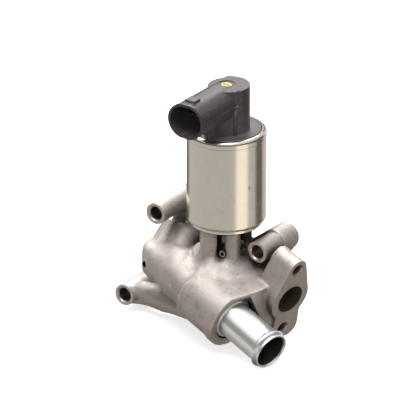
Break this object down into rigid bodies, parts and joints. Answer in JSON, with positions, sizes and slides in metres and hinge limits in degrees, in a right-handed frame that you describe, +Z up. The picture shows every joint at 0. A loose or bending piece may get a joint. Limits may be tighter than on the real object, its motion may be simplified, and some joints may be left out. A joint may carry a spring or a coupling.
{
  "type": "exhaust gas recirculation valve",
  "caption": "Solenoid gas recirculation valve: steel can and black plug cap on a cast aluminium housing with a steel hose spigot, a slanted outlet flange and screw bosses.",
  "frame": {"origin": "centre of the gas inlet on the machined mounting face", "axes": "+Y out of the mounting face into the engine, +Z up along the valve axis, +X towards the outlet flange"},
  "size_m": [0.1321, 0.0718, 0.1632],
  "materials": {
    "cast_aluminium": "as-cast, grit blasted, faces machined",
    "bright_steel": "bright zinc plate",
    "seat_steel": "turned heat-resisting steel",
    "bronze": "sintered bronze",
    "can_steel": "satin zinc-nickel plate",
    "pole_iron": "turned soft iron",
    "bobbin_plastic": "moulded glass-filled nylon",
    "copper_wire": "enamelled copper wire",
    "sleeve_steel": "drawn non-magnetic steel",
    "valve_steel": "ground stainless steel",
    "spring_wire": "spring steel wire",
    "sensor_ceramic": "printed resistor plate",
    "black_plastic": "moulded black glass-filled nylon",
    "seal_rubber": "moulded rubber",
    "terminal_tin": "tinned blade",
    "brass": "turned brass"
  },
  "bodies": {
    "housing": {"housing": "cast_aluminium", "hose_spigot": "bright_steel", "valve_seat": "seat_steel", "core_plug": "bright_steel", "stem_guide": "bronze", "guide_pin": "bright_steel", "stem_scraper": "seat_steel", "base_plate": "can_steel", "base_screws": "bright_steel", "solenoid_can": "can_steel", "lower_pole": "pole_iron", "stem_bush": "bronze", "bobbin": "bobbin_plastic", "coil_winding": "copper_wire", "armature_sleeve": "sleeve_steel", "upper_pole": "pole_iron", "flux_washer": "pole_iron", "return_spring": "spring_wire", "sensor_spring": "spring_wire", "sensor_board": "sensor_ceramic", "cap": "black_plastic", "cap_seal": "seal_rubber", "terminal_pins": "terminal_tin", "brass_screw": "brass"},
    "valve": {"armature": "pole_iron", "valve_pintle": "valve_steel", "sensor_plunger": "valve_steel", "sensor_wiper": "bobbin_plastic"}
  },
  "joints": [
    {"name": "valve_lift", "type": "slide", "parent": "housing", "child": "valve", "axis": [0, 0, 1], "range_m": [0, 0.0045], "stiffness_N_per_m": 2500, "springref_m": -0.006, "deforming": ["return_spring", "sensor_spring"]}
  ]
}
